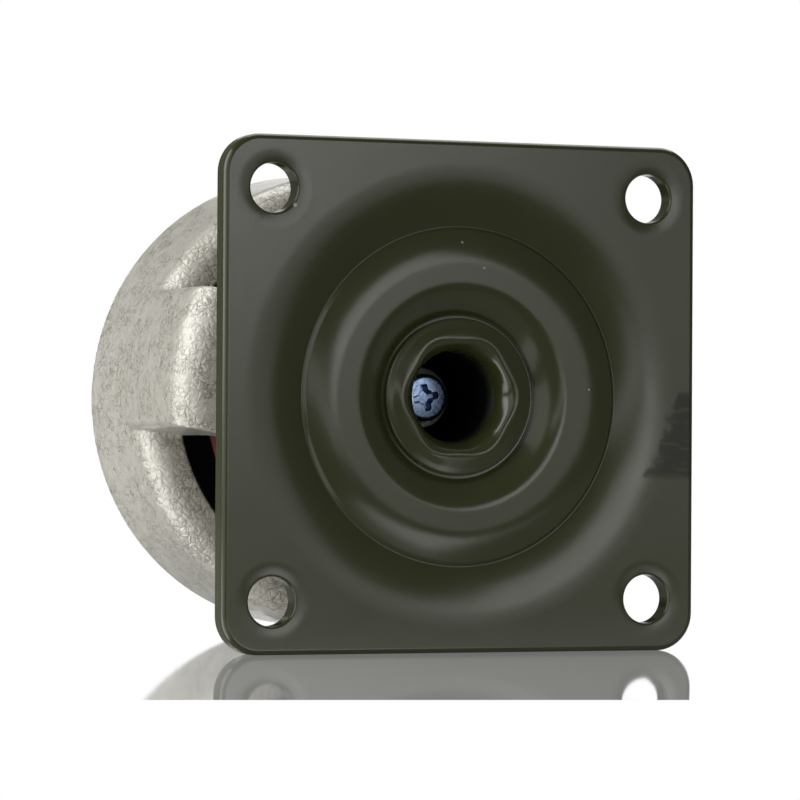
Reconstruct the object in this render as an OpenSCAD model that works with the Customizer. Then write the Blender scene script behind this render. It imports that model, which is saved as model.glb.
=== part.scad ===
// Levelling swivel castor with a top plate, a cast swivel body, a trailing wheel
// and a screw-down foot that a dial in the body turns out.
// The origin is the centre of the plate's top face, +Z points out of the plate, and all
// heights below it are negative. The swivel axis is Z. The body is drawn with its wheel
// trailing towards +X and then turned about Z.

/* [Overall] */
// Height from the floor under the wheel to the plate's top face
total_h = 84; // [82:0.5:90]
// Turn of the swivel body about the swivel axis at rest, in degrees
swivel_turn = -10; // [-30:1:30]

/* [Plate] */
// Side of the square plate
plate_w = 73; // [72:0.5:80]
// Thickness of the plate's sheet
plate_t = 3.2; // [2.8:0.1:3.6]
// Radius of the plate's corners
plate_corner_r = 5.5; // [4:0.5:7]
// Radius of the rolled upper edge of the plate
plate_edge_r = 0.8; // [0.4:0.1:1.2]
// Distance of the bolt holes' centres from the plate's sides
hole_inset = 7.5; // [7:0.1:8]
// Diameter of the bolt holes
hole_d = 7; // [6:0.1:8]
// Width of the flat face left between the dish and the middle of each side
dish_margin = 3.1; // [2.4:0.1:4]
// Radius of the sharp crease at the foot of the dish
crease_r = 24.2; // [23.5:0.1:25]
// Depth of the crease below the flat face
crease_drop = 1.5; // [1.2:0.1:2]
// Pitch radius of the upper ball row, also the middle of the raised bead
bead_r = 17.65; // [17.4:0.05:18]
// Width of the flat crest of the bead
bead_flat = 2.5; // [2:0.1:3]
// Depth of the bead's crest below the flat face
bead_drop = 0.3; // [0.1:0.1:0.5]
// Radius where the plate's middle floor begins
floor_r = 12.6; // [12.2:0.1:13]
// Depth of the middle floor below the flat face
floor_drop = 2.6; // [2.3:0.1:2.8]

/* [Kingpin] */
// Radius of the kingpin's journal in the body
king_r = 10.2; // [9.8:0.1:10.5]
// Radius of the kingpin's spigot through the plate
spigot_r = 9; // [8.6:0.1:9.2]
// Radius of the kingpin's bore
king_bore_r = 6.5; // [6.2:0.1:6.8]
// Outer radius of the swaged collar on the plate
collar_r = 11.25; // [10.8:0.05:11.8]
// Height of the collar above the middle floor
collar_h = 1.5; // [1.2:0.1:1.8]
// Radius of the corners of the six-sided mouth
mouth_r = 9.3; // [9:0.1:9.6]
// Depth of the mouth below the collar's crest
mouth_h = 2; // [1.6:0.1:2.4]
// Radius of the balls in the upper row
upper_ball_r = 2.5; // [2.3:0.1:2.7]
// Radius of the balls in the lower row
lower_ball_r = 2; // [1.8:0.1:2.1]
// Pitch radius of the lower ball row
lower_pitch_r = 13.8; // [13.6:0.1:14]
// Outer radius of the ring that carries the lower balls
king_ring_r = 17; // [16.6:0.1:17.2]
// Height of the ring that carries the lower balls
king_ring_h = 3.6; // [3.2:0.1:4]

/* [Swivel body] */
// Radius of the hub under the plate
hub_r = 24; // [23:0.5:25]
// Gap between the top of the wheel and the underside of the arms
arm_over_wheel = 7; // [6.5:0.1:7.5]
// Thickness of the arms
arm_t = 8; // [7.6:0.1:8.4]
// Radius of the hub between the arms
waist_r = 27; // [26.5:0.1:27.2]
// Height of the windows between the arms and the deck
window_h = 12.5; // [12:0.1:13]
// Radius of the opening in the deck
deck_open_r = 28; // [27.8:0.1:28.4]
// Depth of the floor of the dial pocket below the deck
pocket_h = 3.5; // [3:0.1:3.8]
// Depth of the ring-shaped pocket round the dial's seat below the deck
ring_pocket_h = 14; // [12:0.5:15]
// Thickness of the web under the ring-shaped pocket
web_t = 4; // [3.5:0.1:4.5]
// Width of the seat left round the dial's hub
seat_margin = 1; // [0.8:0.1:1.5]
// Radius of the drum at the deck
drum_top_r = 34.2; // [33.8:0.1:34.6]
// Radius of the drum at its lower rim
drum_rim_r = 34.75; // [34.6:0.05:35.2]
// Radius of the rounded edge between the drum and the deck
drum_edge_r = 4; // [3.5:0.1:4.5]
// Height of the drum from its lower rim to the deck
drum_h = 21.5; // [20.5:0.5:22.5]
// Thickness of the drum's wall
drum_wall = 3.2; // [2.8:0.1:3.6]
// Outer radius of the front pillar
pillar_r = 35.5; // [35.3:0.1:36]
// Width of the front pillar
pillar_w = 20.8; // [20:0.2:23]
// Reach of the pillar's lower end below the deck
pillar_foot = 6; // [5:0.5:8]
// Radius of the pillar's shoulder
shoulder_r = 5; // [4:0.5:6]
// Height of the sloped lower end of the pillar
pillar_slope = 2.7; // [2:0.1:3.5]
// Radius of the pillar's upright edges
pillar_edge_r = 1.6; // [1:0.1:2]
// Radius of the guide boss under the pocket
boss_r = 11.5; // [11:0.1:12]
// Length of the guide boss below the pocket's floor
boss_h = 15; // [13:0.5:17]
// Half width of the rear arm and posts
rear_half_w = 18; // [17.6:0.1:18.2]
// Nearest reach of the rear posts from the swivel axis
post_in = 24; // [23.8:0.1:24.6]
// Farthest reach of the rear posts from the swivel axis
post_out = 36.5; // [36:0.1:37]
// Thickness of a cheek beside the wheel
cheek_t = 5; // [4.5:0.1:5.4]
// Radius of a cheek's boss round the axle
cheek_boss_r = 11; // [10.5:0.1:11.5]

/* [Dial and foot] */
// Radius of the dial's rim
dial_r = 25.5; // [25:0.1:25.6]
// Height of the dial's rim
dial_rim_h = 8.3; // [8:0.1:8.4]
// Radius of the scallops in the dial's rim
scallop_r = 2; // [1.6:0.1:2.4]
// Number of scallops round the dial
scallops = 20; // [16:1:24]
// Radius of the dial's hub
dial_hub_r = 15; // [14.5:0.1:15.4]
// Height of the chamfers on the dial's rim
dial_chamfer = 1.2; // [1:0.1:1.4]
// Thickness of the washer above the dial
upper_washer_t = 1.2; // [1:0.1:1.4]
// Thickness of the washer below the dial
lower_washer_t = 1.5; // [1.3:0.1:1.6]
// Radius of the corners of the six-sided nut in the dial
nut_corner_r = 10; // [9:0.5:11]
// Radius of the spindle's thread
thread_r = 4; // [3.8:0.1:4.2]
// Radius of the spindle's guided shank
shank_r = 7; // [6.6:0.1:7.2]
// Half distance between the shank's two flats
shank_flat = 5.6; // [5.2:0.1:6]
// Depth of the stop screw's head, at rest
screw_drop = 13.7; // [13:0.1:14]
// Radius of the stop screw's head
screw_head_r = 3.45; // [3.2:0.05:3.6]
// Height of the stop screw's head
screw_head_h = 2.6; // [2.4:0.1:2.8]
// Radius of the stop screw's shank
screw_r = 2; // [1.8:0.1:2.2]
// Length of the stop screw under its head
screw_l = 12; // [10:1:14]
// Width of the arms of the stop screw's cross recess
recess_w = 1; // [0.8:0.1:1.2]
// Radius of the stop washer
stop_washer_r = 4.5; // [4.4:0.05:4.8]
// Thickness of the stop washer
stop_washer_t = 0.8; // [0.6:0.1:1]
// Radius of the foot
pad_r = 17; // [16:0.2:17.4]
// Gap between the raised foot and the floor
pad_gap = 4; // [3:0.5:5]
// Thickness of the rubber pad
pad_t = 4; // [3.5:0.1:4.4]
// Thickness of the cup's rim above the rubber pad
cup_t = 2; // [1.8:0.1:2.4]
// Radius of the cup's socket
cup_socket_r = 10; // [9.5:0.1:10.4]
// Height of the cup's socket above its rim
cup_socket_h = 4; // [3:0.2:5]

/* [Wheel] */
// Diameter of the wheel
wheel_d = 48; // [47:0.2:49]
// Width of the wheel
wheel_w = 22; // [21:0.2:22.4]
// Distance of the wheel's tread behind the swivel axis
wheel_reach = 14; // [13.8:0.1:15]
// Radius of the tread's edges
tread_edge_r = 3; // [2:0.1:4]
// Outer radius of the web's recess
web_out_r = 19; // [18:0.1:20]
// Inner radius of the web's recess
web_in_r = 14; // [13.5:0.1:14.5]
// Depth of the web's recess on each side
web_recess = 5; // [3:0.1:6]
// Radius of the bearing's outer ring
bearing_out_r = 11; // [10.8:0.1:11.2]
// Width of a bearing
bearing_w = 7; // [6.5:0.1:7.2]
// Radius of a bearing ball
bearing_ball_r = 1.95; // [1.85:0.05:2]
// Radius of the axle bolt
axle_r = 4; // [3.8:0.05:4.1]
// Thickness of the axle's outer washers
axle_washer_t = 1.6; // [1.4:0.1:1.8]
// Radius of the axle's outer washers
axle_washer_r = 8; // [7.6:0.1:8.4]
// Distance across the flats of the axle's hexagons
hex_af = 13; // [12.6:0.1:13.4]
// Height of the axle bolt's head
axle_head_h = 5.3; // [5:0.1:5.6]
// Height of the lock nut
lock_nut_h = 8; // [7.6:0.1:8.4]

/* [Fits] */
// Radial clearance of parts that turn or slide in each other
run_fit = 0.05; // [0.03:0.01:0.08]
// Clearance between the wheel and the walls beside it
wheel_gap = 1.5; // [1.4:0.1:1.6]
// Clearance between the wheel's tread and the well round it
well_gap = 2; // [1.6:0.1:2.2]

/* [Hidden] */
$fn = 96;
// Steps of a curved stretch of the plate's section
curve_steps = 14;
// Overlap of cutters past the faces they cut
cut = 1;
// Plate
crest_out = bead_r + bead_flat / 2;
crest_in = bead_r - bead_flat / 2;
plate_half = plate_w / 2;
hole_pitch = plate_w - 2 * hole_inset;
dish_r = plate_half - dish_margin;
dish_lap = dish_margin / 4;
// Upper ball row
upper_ball_z = -bead_drop - plate_t - upper_ball_r - run_fit;
upper_ball_n = 20;
hub_top = upper_ball_z - upper_ball_r * 0.32;
// Arms, deck and drum, from the wheel up
arm_bottom = -total_h + wheel_d + arm_over_wheel;
arm_drop = -arm_bottom - arm_t;
deck_drop = window_h - arm_bottom;
rim_drop = deck_drop + drum_h;
pillar_drop = deck_drop + pillar_foot;
neck_h = 5;
washer_gap = 0.5;
arm_edge_r = 4;
// Lower ball row, its ring and the retaining ring under it
ring_gap = lower_ball_r * 0.8;
ring_bottom = arm_bottom + lower_ball_r * 2;
ring_top = ring_bottom + king_ring_h;
hub_ceiling = ring_top + ring_gap;
lower_ball_z = (ring_top + hub_ceiling) / 2;
lower_ball_n = 18;
hub_pocket_r = king_ring_r + run_fit * 10;
retaining_t = 1.2;
retaining_depth = 0.7;
retaining_out_r = 13;
king_setback = 1.5;
king_bottom = arm_bottom + king_setback;
// Dial
washer_setback = 1.5;
washer_in_r = hub_pocket_r + 0.5;
washer_out_r = dial_r - washer_setback;
dial_top = arm_bottom - upper_washer_t;
rim_bottom = dial_top - dial_rim_h;
pocket_floor = -deck_drop - pocket_h;
boss_drop = boss_h - pocket_floor;
web_top = -deck_drop - ring_pocket_h;
seat_r = dial_hub_r + seat_margin;
dial_bottom = pocket_floor + lower_washer_t;
nut_top = dial_top - 0.8;
lower_washer_in = shank_r + washer_setback;
// Foot
screw_seat = -screw_drop - screw_head_h;
spindle_top = screw_seat - stop_washer_t;
shank_top = pocket_floor;
pad_bottom = -total_h + pad_gap;
cup_bottom = pad_bottom + pad_t;
shank_bottom = cup_bottom;
cup_rim_top = cup_bottom + cup_t;
cup_top = cup_rim_top + cup_socket_h;
pad_edge_r = 1.2;
// Wheel and axle
wheel_r = wheel_d / 2;
axle_z = -total_h + wheel_r;
trail = wheel_reach + wheel_r;
wheel_half = wheel_w / 2;
cheek_in = wheel_half + wheel_gap;
cheek_out = cheek_in + cheek_t;
well_r = wheel_r + well_gap;
bearing_in = wheel_half - bearing_w;
bearing_pitch_r = (bearing_out_r + axle_r) / 2;
bearing_race_in = bearing_pitch_r - bearing_ball_r * 0.76;
bearing_race_out = bearing_pitch_r + bearing_ball_r * 0.76;
bearing_balls_n = 7;
shield_t = 0.4;
shield_inset = 0.3;
shield_gap = 0.1;
spacer_wall = 2.2;
spacer_r = axle_r + spacer_wall;
hex_r = hex_af / 2 / cos(30);
bolt_seat = cheek_out + axle_washer_t;
bolt_tail = 2;
tail_end = -bolt_seat - lock_nut_h - bolt_tail;

// Turns its children with the swivel body.
module swivelled() {
    rotate([0, 0, swivel_turn]) children();
}

// Puts its children on the axle, with their +Z along the axle.
module on_axle() {
    swivelled() translate([trail, 0, axle_z]) rotate([-90, 0, 0]) children();
}

// A round ring between two radii, from z0 up to z1.
module ring(r_in, r_out, z0, z1) {
    translate([0, 0, z0]) difference() {
        cylinder(h = z1 - z0, r = r_out);
        translate([0, 0, -cut]) cylinder(h = z1 - z0 + 2 * cut, r = r_in);
    }
}

// A row of balls on a pitch circle.
module ball_row(count, pitch_r, ball_r) {
    for (i = [0 : count - 1])
        rotate([0, 0, i * 360 / count]) translate([pitch_r, 0, 0]) sphere(r = ball_r, $fn = 24);
}

// Section of the sheet from a middle line out to its rolled upper edge.
module edge_section(reach) {
    translate([0, -plate_t]) square([reach, plate_t - plate_edge_r]);
    translate([0, -plate_t]) square([reach - plate_edge_r, plate_t]);
    translate([reach - plate_edge_r, -plate_edge_r]) circle(r = plate_edge_r, $fn = 48);
}

// Flat sheet of the plate: two crossing bars and a quarter round at each corner.
module flat_sheet() {
    span = plate_half - plate_corner_r;
    for (turn = [0 : 90 : 270]) rotate([0, 0, turn]) {
        translate([0, span, 0]) rotate([90, 0, 0]) linear_extrude(2 * span) edge_section(plate_half);
        translate([span, span, 0]) rotate_extrude(angle = 90) edge_section(plate_corner_r);
    }
}

// Height of the dished sheet's top at a radius. The dish rounds down to the crease, the bead
// rises from the crease to its flat crest, and its inner side falls to the middle floor.
function dish_top(r) =
    r >= dish_r ? 0 :
    r >= crease_r ? -crease_drop * (1 - cos(90 * (dish_r - r) / (dish_r - crease_r))) :
    r >= crest_out ? -crease_drop + (crease_drop - bead_drop)
        * sin(90 * (crease_r - r) / (crease_r - crest_out)) :
    r >= crest_in ? -bead_drop :
    -bead_drop - (floor_drop - bead_drop) * (1 - cos(180 * (crest_in - r) / (crest_in - floor_r))) / 2;

// Radii at which the dished sheet's section has its points, from the floor out to the flat face.
function stretch(r0, r1) = [for (i = [0 : curve_steps - 1]) r0 + (r1 - r0) * i / curve_steps];
dish_radii = concat(
    stretch(floor_r, crest_in), [crest_in], stretch(crest_out, crease_r), stretch(crease_r, dish_r),
    [dish_r, dish_r + dish_lap]
);

// Dished middle of the plate, of the sheet's own thickness.
module dished_sheet() {
    top = [for (r = dish_radii) [r, dish_top(r)]];
    under = [for (i = [len(dish_radii) - 1 : -1 : 0]) [dish_radii[i], dish_top(dish_radii[i]) - plate_t]];
    rotate_extrude() polygon(concat(
        [[spigot_r, -floor_drop]], top, under, [[spigot_r, -floor_drop - plate_t]]
    ));
}

module mounting_plate() {
    color("#3d3f33") {
        difference() {
            flat_sheet();
            translate([0, 0, -plate_t - cut]) cylinder(h = plate_t + 2 * cut, r = dish_r);
            for (x = [-1, 1], y = [-1, 1])
                translate([x * hole_pitch / 2, y * hole_pitch / 2, -plate_t - cut])
                    cylinder(h = plate_t + 2 * cut, d = hole_d);
        }
        dished_sheet();
    }
}

// Hollow pin: journal below the plate, spigot through it, collar swaged over it.
module kingpin() {
    collar_top = -floor_drop + collar_h;
    crown_r = collar_h;
    color("#3d3f33") difference() {
        union() {
            translate([0, 0, king_bottom])
                cylinder(h = -floor_drop - plate_t - king_bottom, r = king_r);
            translate([0, 0, -floor_drop - plate_t]) cylinder(h = plate_t + collar_h, r = spigot_r);
            rotate_extrude() {
                translate([0, -floor_drop]) square([collar_r - crown_r, collar_h]);
                intersection() {
                    translate([collar_r - crown_r, -floor_drop]) circle(r = crown_r, $fn = 48);
                    translate([0, -floor_drop]) square([collar_r, collar_h]);
                }
            }
        }
        translate([0, 0, king_bottom - cut]) cylinder(h = total_h, r = king_bore_r);
        translate([0, 0, collar_top - mouth_h])
            cylinder(h = mouth_h + 0.01, r1 = king_bore_r / cos(30), r2 = mouth_r, $fn = 6);
        ring(king_r - retaining_depth, king_r + cut, ring_bottom - retaining_t, ring_bottom);
    }
}

module upper_balls() {
    color("silver") translate([0, 0, upper_ball_z]) ball_row(upper_ball_n, bead_r, upper_ball_r);
}

// Ring groove for a row of balls.
module race(pitch_r, ball_r, z) {
    translate([0, 0, z]) rotate_extrude() translate([pitch_r, 0]) circle(r = ball_r + run_fit, $fn = 48);
}

// Section of the drum with its deck, pocket floor, guide boss and open underside.
module drum_section() {
    edge_z = -deck_drop - drum_edge_r;
    difference() {
        union() {
            polygon([[0, -rim_drop], [drum_rim_r, -rim_drop], [drum_top_r, edge_z], [0, edge_z]]);
            translate([0, edge_z]) square([drum_top_r - drum_edge_r, drum_edge_r]);
            translate([drum_top_r - drum_edge_r, edge_z]) circle(r = drum_edge_r, $fn = 64);
        }
        translate([0, pocket_floor]) square([deck_open_r, pocket_h + cut]);
        translate([seat_r, web_top]) square([deck_open_r - seat_r, pocket_floor + cut - web_top]);
        translate([boss_r, -rim_drop - cut])
            square([drum_top_r - drum_wall - boss_r, rim_drop + cut + web_top - web_t]);
        translate([0, -rim_drop - cut]) square([boss_r, rim_drop + cut - boss_drop]);
    }
}

// Section of the hub with the pillar's arm and upright, before it is cut to width.
module pillar_section() {
    inner_r = deck_open_r;
    translate([0, arm_bottom]) square([pillar_r - shoulder_r, arm_t]);
    polygon([
        [inner_r, -pillar_drop], [drum_top_r, -pillar_drop], [pillar_r, pillar_slope - pillar_drop],
        [pillar_r, -arm_drop - shoulder_r], [inner_r, -arm_drop - shoulder_r]
    ]);
    translate([pillar_r - shoulder_r, -arm_drop - shoulder_r]) circle(r = shoulder_r, $fn = 64);
}

// Plan of the front pillar: parallel sides and rounded upright edges.
module pillar_plan() {
    half = pillar_w / 2;
    edge_y = half - pillar_edge_r;
    edge_x = sqrt(pow(pillar_r - pillar_edge_r, 2) - pow(edge_y, 2));
    far = pillar_r * 1.1;
    along = far / (pillar_r - pillar_edge_r);
    difference() {
        translate([-far, -half]) square([far, pillar_w]);
        for (side = [-1, 1]) difference() {
            polygon([
                [-edge_x, side * edge_y], [-edge_x, side * far],
                [-edge_x * along, side * far], [-edge_x * along, side * edge_y * along]
            ]);
            translate([-edge_x, side * edge_y]) circle(r = pillar_edge_r, $fn = 48);
        }
    }
}

module front_pillar() {
    intersection() {
        rotate_extrude() pillar_section();
        translate([0, 0, -total_h]) linear_extrude(total_h) pillar_plan();
    }
}

// Hub under the plate, widening to the arms.
module hub() {
    neck_z = neck_h - arm_drop;
    translate([0, 0, neck_z]) cylinder(h = hub_top - neck_z, r = hub_r);
    translate([0, 0, -arm_drop]) cylinder(h = neck_z + arm_drop, r1 = waist_r, r2 = hub_r);
    translate([0, 0, arm_bottom]) cylinder(h = arm_t, r = waist_r);
}

// Rear arm over the wheel, and a post on each side of the wheel down to its cheek.
module rear_frame() {
    post_w = rear_half_w - cheek_in;
    translate([0, 0, arm_bottom]) linear_extrude(arm_t) {
        translate([0, -rear_half_w]) square([post_out - arm_edge_r, 2 * rear_half_w]);
        translate([0, arm_edge_r - rear_half_w]) square([post_out, 2 * (rear_half_w - arm_edge_r)]);
        for (side = [-1, 1])
            translate([post_out - arm_edge_r, side * (rear_half_w - arm_edge_r)]) circle(r = arm_edge_r);
    }
    for (side = [-1, 1])
        translate([post_in, side * (cheek_in + post_w / 2) - post_w / 2, axle_z])
            cube([trail - axle_washer_r - washer_gap - post_in, post_w, arm_bottom - axle_z]);
}

// Side view of a cheek: a web from the drum to the boss round the axle.
module cheek_plan() {
    drum_x = sqrt(pow(drum_top_r - drum_wall / 2, 2) - pow(cheek_out, 2));
    circle(r = cheek_boss_r);
    polygon([
        [drum_x - trail, axle_z + deck_drop + drum_edge_r], [post_out - trail - arm_edge_r, axle_z + deck_drop],
        [cheek_boss_r * cos(45), -cheek_boss_r * sin(45)], [0, cheek_boss_r],
        [drum_x - trail, axle_z + rim_drop]
    ]);
}

module cheeks() {
    for (side = [-1, 1]) translate([trail, side * (cheek_in + cheek_t / 2), axle_z]) rotate([-90, 0, 0])
        linear_extrude(cheek_t, center = true) cheek_plan();
}

// Casting: hub, front pillar, drum with the dial's pocket, rear arm, posts and cheeks.
// The drum is faced back where the axle's washers, head and nut would meet it.
module swivel_body() {
    color("#b4b6ac") swivelled() difference() {
        union() {
            hub();
            front_pillar();
            difference() {
                rotate_extrude() drum_section();
                translate([trail, 0, axle_z]) rotate([90, 0, 0])
                    cylinder(h = 2 * cheek_in, r = well_r, center = true);
                translate([trail - well_r + cut, -cheek_in, -total_h])
                    cube([total_h, 2 * cheek_in, total_h + axle_z]);
                for (side = [-1, 1])
                    translate([trail, side * (cheek_out + drum_rim_r / 2), axle_z]) rotate([90, 0, 0])
                        cylinder(h = drum_rim_r, r = axle_washer_r + run_fit, center = true);
            }
            rear_frame();
            cheeks();
        }
        race(bead_r, upper_ball_r, upper_ball_z);
        race(lower_pitch_r, lower_ball_r, lower_ball_z);
        translate([0, 0, arm_bottom - cut]) cylinder(h = total_h, r = king_r + run_fit);
        translate([0, 0, arm_bottom - cut]) cylinder(h = hub_ceiling - arm_bottom + cut, r = hub_pocket_r);
        translate([0, 0, -rim_drop]) linear_extrude(rim_drop + pocket_floor + cut) shank_outline(run_fit);
        translate([trail, 0, axle_z]) rotate([90, 0, 0])
            cylinder(h = 2 * cheek_out + 2 * cut, r = axle_r + run_fit, center = true);
    }
}

module lower_balls() {
    color("silver") translate([0, 0, lower_ball_z]) ball_row(lower_ball_n, lower_pitch_r, lower_ball_r);
}

module kingpin_ring() {
    color("silver") difference() {
        ring(king_r, king_ring_r, ring_bottom, ring_top);
        race(lower_pitch_r, lower_ball_r, lower_ball_z);
    }
}

module retaining_ring() {
    color("dimgray") difference() {
        ring(king_r - retaining_depth, retaining_out_r, ring_bottom - retaining_t, ring_bottom);
        translate([0, -king_bore_r / 2, arm_bottom])
            cube([retaining_out_r + cut, king_bore_r, ring_bottom - arm_bottom]);
    }
}

module upper_thrust_washer() {
    color("silver") swivelled() ring(washer_in_r, washer_out_r, dial_top, arm_bottom);
}

// Section of the dial: chamfered rim, web and hub.
module dial_section() {
    polygon([
        [0, dial_top], [dial_r - dial_chamfer, dial_top], [dial_r, dial_top - dial_chamfer],
        [dial_r, rim_bottom + dial_chamfer], [dial_r - dial_chamfer, rim_bottom],
        [dial_hub_r, rim_bottom], [dial_hub_r, dial_bottom], [0, dial_bottom]
    ]);
}

module adjusting_dial() {
    scallop_reach = dial_r + scallop_r * 0.55;
    color("firebrick") swivelled() difference() {
        rotate_extrude() dial_section();
        for (i = [0 : scallops - 1]) rotate([0, 0, i * 360 / scallops])
            translate([scallop_reach, 0, rim_bottom - cut])
                cylinder(h = dial_rim_h + 2 * cut, r = scallop_r, $fn = 32);
        translate([0, 0, dial_bottom - cut])
            cylinder(h = nut_top - dial_bottom + cut, r = nut_corner_r + run_fit, $fn = 6);
        translate([0, 0, dial_bottom - cut])
            cylinder(h = dial_top - dial_bottom + 2 * cut, r = stop_washer_r + 1);
    }
}

module dial_nut() {
    color("goldenrod") swivelled() difference() {
        translate([0, 0, dial_bottom]) cylinder(h = nut_top - dial_bottom, r = nut_corner_r, $fn = 6);
        translate([0, 0, dial_bottom - cut]) cylinder(h = total_h, r = thread_r + run_fit);
    }
}

module lower_thrust_washer() {
    color("silver") swivelled() ring(lower_washer_in, dial_hub_r, pocket_floor, dial_bottom);
}

// Plan of the guided shank: round with two flats, grown by a clearance.
module shank_outline(clearance = 0) {
    intersection() {
        circle(r = shank_r + clearance);
        square([3 * shank_r, 2 * (shank_flat + clearance)], center = true);
    }
}

module spindle() {
    color("silver") swivelled() difference() {
        union() {
            translate([0, 0, shank_top]) cylinder(h = spindle_top - shank_top, r = thread_r);
            translate([0, 0, shank_bottom]) linear_extrude(shank_top - shank_bottom) shank_outline();
        }
        translate([0, 0, screw_seat - screw_l]) cylinder(h = screw_l + cut, r = screw_r);
    }
}

module stop_washer() {
    color("silver") swivelled() ring(screw_r, stop_washer_r, spindle_top, screw_seat);
}

// Pan-head screw with a cross recess.
module stop_screw() {
    head_edge_r = 1.2;
    recess_h = screw_head_h * 0.6;
    recess_l = screw_head_r * 1.1;
    color("lightsteelblue") swivelled() translate([0, 0, screw_seat]) difference() {
        union() {
            translate([0, 0, -screw_l]) cylinder(h = screw_l, r = screw_r);
            rotate_extrude() {
                square([screw_head_r - head_edge_r, screw_head_h]);
                square([screw_head_r, screw_head_h - head_edge_r]);
                translate([screw_head_r - head_edge_r, screw_head_h - head_edge_r]) intersection() {
                    circle(r = head_edge_r, $fn = 32);
                    square(head_edge_r);
                }
            }
        }
        for (turn = [0, 90]) rotate([0, 0, turn + 20])
            translate([-recess_l / 2, -recess_w / 2, screw_head_h - recess_h])
                cube([recess_l, recess_w, recess_h + cut]);
    }
}

module pad_cup() {
    color("silver") swivelled() difference() {
        union() {
            translate([0, 0, cup_bottom]) cylinder(h = cup_t, r = pad_r);
            translate([0, 0, cup_rim_top]) cylinder(h = cup_socket_h, r = cup_socket_r);
        }
        translate([0, 0, cup_bottom - cut]) linear_extrude(cup_top - cup_bottom + 2 * cut) shank_outline();
    }
}

module rubber_pad() {
    color("#202020") swivelled() translate([0, 0, pad_bottom]) rotate_extrude() {
        translate([0, pad_edge_r]) square([pad_r, pad_t - pad_edge_r]);
        square([pad_r - pad_edge_r, pad_t]);
        translate([pad_r - pad_edge_r, pad_edge_r]) intersection() {
            circle(r = pad_edge_r, $fn = 32);
            translate([0, -pad_edge_r]) square([pad_edge_r, pad_edge_r]);
        }
    }
}

// Section of the wheel: tread with rounded edges, recessed web, stepped bearing seats.
module wheel_section() {
    difference() {
        union() {
            translate([0, -wheel_half]) square([wheel_r - tread_edge_r, wheel_w]);
            translate([0, tread_edge_r - wheel_half]) square([wheel_r, wheel_w - 2 * tread_edge_r]);
            for (side = [-1, 1])
                translate([wheel_r - tread_edge_r, side * (wheel_half - tread_edge_r)])
                    circle(r = tread_edge_r, $fn = 48);
        }
        for (side = [-1, 1]) {
            translate([web_in_r, side * (wheel_half - web_recess / 2 + cut / 2) - (web_recess + cut) / 2])
                square([web_out_r - web_in_r, web_recess + cut]);
            translate([0, side * (wheel_half - bearing_w / 2 + cut / 2) - (bearing_w + cut) / 2])
                square([bearing_out_r, bearing_w + cut]);
        }
        translate([0, -wheel_half]) square([bearing_race_out, wheel_w]);
    }
}

module wheel() {
    color("#2a2a2a") on_axle() rotate_extrude() wheel_section();
}

// Places its children at the middle of each of the two bearings.
module at_bearings() {
    on_axle() for (side = [-1, 1]) translate([0, 0, side * (wheel_half - bearing_w / 2)]) children();
}

module bearing_outer_rings() {
    color("silver") at_bearings() difference() {
        ring(bearing_race_out, bearing_out_r, -bearing_w / 2, bearing_w / 2);
        race(bearing_pitch_r, bearing_ball_r, 0);
    }
}

module bearing_inner_rings() {
    color("silver") at_bearings() difference() {
        ring(axle_r + run_fit, bearing_race_in, -bearing_w / 2, bearing_w / 2);
        race(bearing_pitch_r, bearing_ball_r, 0);
    }
}

module bearing_balls() {
    color("silver") at_bearings() ball_row(bearing_balls_n, bearing_pitch_r, bearing_ball_r);
}

module bearing_shields() {
    shield_z = bearing_w / 2 - shield_inset;
    color("darkgray") at_bearings() {
        ring(bearing_race_in + shield_gap, bearing_race_out, shield_z - shield_t, shield_z);
        ring(bearing_race_in + shield_gap, bearing_race_out, -shield_z, shield_t - shield_z);
    }
}

module bearing_spacer() {
    color("silver") on_axle() ring(axle_r + run_fit, bearing_race_in, -bearing_in, bearing_in);
}

module side_spacers() {
    color("silver") on_axle() {
        ring(axle_r + run_fit, spacer_r, wheel_half, cheek_in);
        ring(axle_r + run_fit, spacer_r, -cheek_in, -wheel_half);
    }
}

module axle_bolt() {
    color("silver") on_axle() {
        translate([0, 0, tail_end]) cylinder(h = bolt_seat - tail_end, r = axle_r);
        translate([0, 0, bolt_seat]) cylinder(h = axle_head_h, r = hex_r, $fn = 6);
    }
}

module axle_washers() {
    color("silver") on_axle() {
        ring(axle_r + run_fit, axle_washer_r, cheek_out, bolt_seat);
        ring(axle_r + run_fit, axle_washer_r, -bolt_seat, -cheek_out);
    }
}

// Lock nut: hexagon with a round collar that holds the locking insert.
module lock_nut() {
    collar_part = 0.3;
    color("silver") on_axle() difference() {
        union() {
            translate([0, 0, -bolt_seat - lock_nut_h * (1 - collar_part)])
                cylinder(h = lock_nut_h * (1 - collar_part), r = hex_r, $fn = 6);
            translate([0, 0, -bolt_seat - lock_nut_h]) cylinder(h = lock_nut_h, r = hex_af / 2 - 0.4);
        }
        translate([0, 0, -bolt_seat - lock_nut_h - cut]) cylinder(h = lock_nut_h + 2 * cut, r = axle_r);
    }
}

mounting_plate();
kingpin();
upper_balls();
swivel_body();
lower_balls();
kingpin_ring();
retaining_ring();
upper_thrust_washer();
adjusting_dial();
dial_nut();
lower_thrust_washer();
spindle();
stop_washer();
stop_screw();
pad_cup();
rubber_pad();
wheel();
bearing_outer_rings();
bearing_inner_rings();
bearing_balls();
bearing_shields();
bearing_spacer();
side_spacers();
axle_bolt();
axle_washers();
lock_nut();
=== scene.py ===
import math

import bmesh
import bpy
from mathutils import Matrix, Vector


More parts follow.
